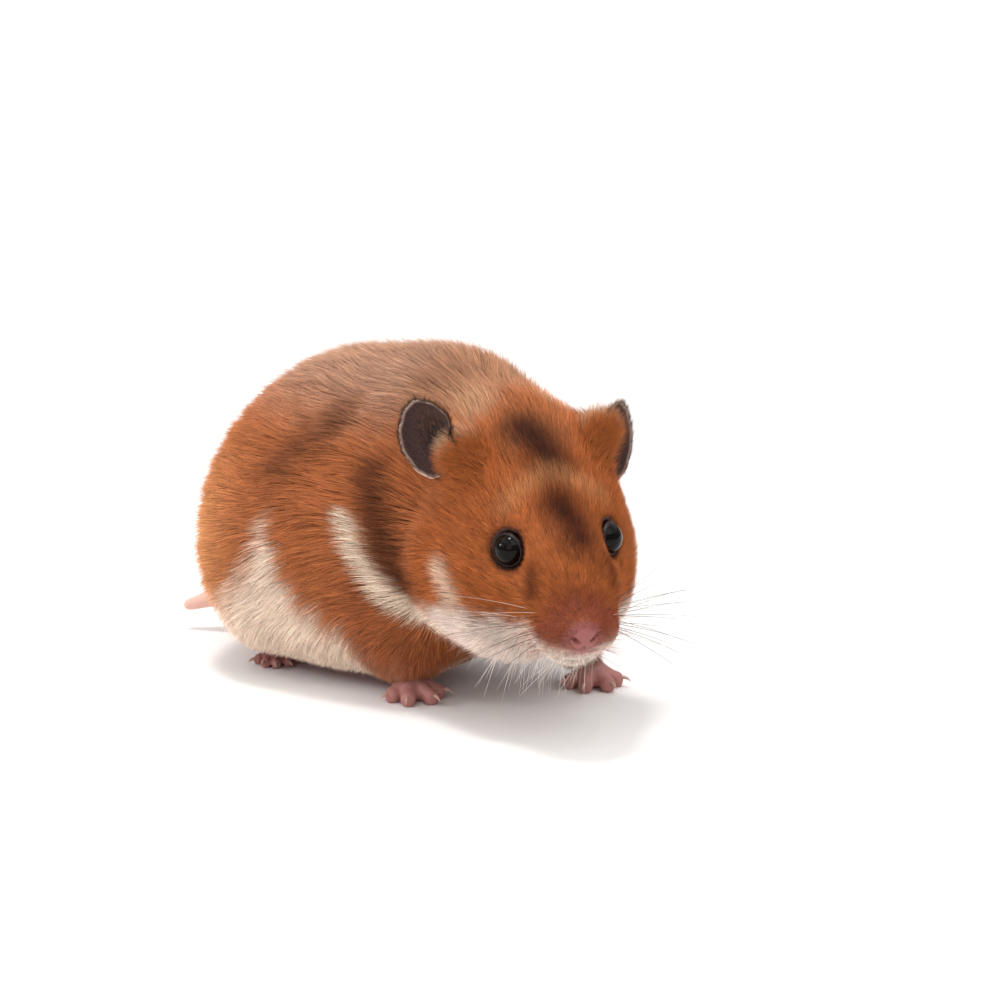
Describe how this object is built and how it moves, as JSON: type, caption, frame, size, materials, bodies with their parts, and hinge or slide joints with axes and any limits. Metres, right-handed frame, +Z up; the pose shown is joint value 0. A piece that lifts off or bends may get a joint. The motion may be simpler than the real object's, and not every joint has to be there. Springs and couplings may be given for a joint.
{
  "type": "syrian hamster",
  "caption": "Syrian hamster at life size, walking low to the floor with its head turned to its right, as a still museum model.",
  "frame": {"origin": "on the floor, below the middle of the bounding box", "axes": "+Z up, the nose towards -Y and +X on the animal's left"},
  "size_m": [0.0596, 0.1249, 0.0678],
  "materials": {
    "coat": "dense soft fur, golden russet above with a cream underside",
    "skin": "bare pink skin, satin",
    "nose": "moist pink skin",
    "ear": "thin dark skin with fine hairs",
    "eye": "wet glossy black",
    "claw": "smooth pale horn"
  },
  "bodies": {
    "root": {"trunk": "coat", "neck": "coat", "head": "coat", "foreleg_left": "coat", "foreleg_right": "coat", "hindleg_left": "coat", "hindleg_right": "coat", "forepaw_left": "skin", "forepaw_right": "skin", "hindfoot_left": "skin", "hindfoot_right": "skin", "tail": "skin", "nose": "nose", "ear_left": "ear", "ear_right": "ear", "eye_left": "eye", "eye_right": "eye", "claw_forepaw_left_1": "claw", "claw_forepaw_left_2": "claw", "claw_forepaw_left_3": "claw", "claw_forepaw_left_4": "claw", "claw_forepaw_right_1": "claw", "claw_forepaw_right_2": "claw", "claw_forepaw_right_3": "claw", "claw_forepaw_right_4": "claw", "claw_hindfoot_left_1": "claw", "claw_hindfoot_left_2": "claw", "claw_hindfoot_left_3": "claw", "claw_hindfoot_left_4": "claw", "claw_hindfoot_left_5": "claw", "claw_hindfoot_right_1": "claw", "claw_hindfoot_right_2": "claw", "claw_hindfoot_right_3": "claw", "claw_hindfoot_right_4": "claw", "claw_hindfoot_right_5": "claw"}
  },
  "joints": []
}
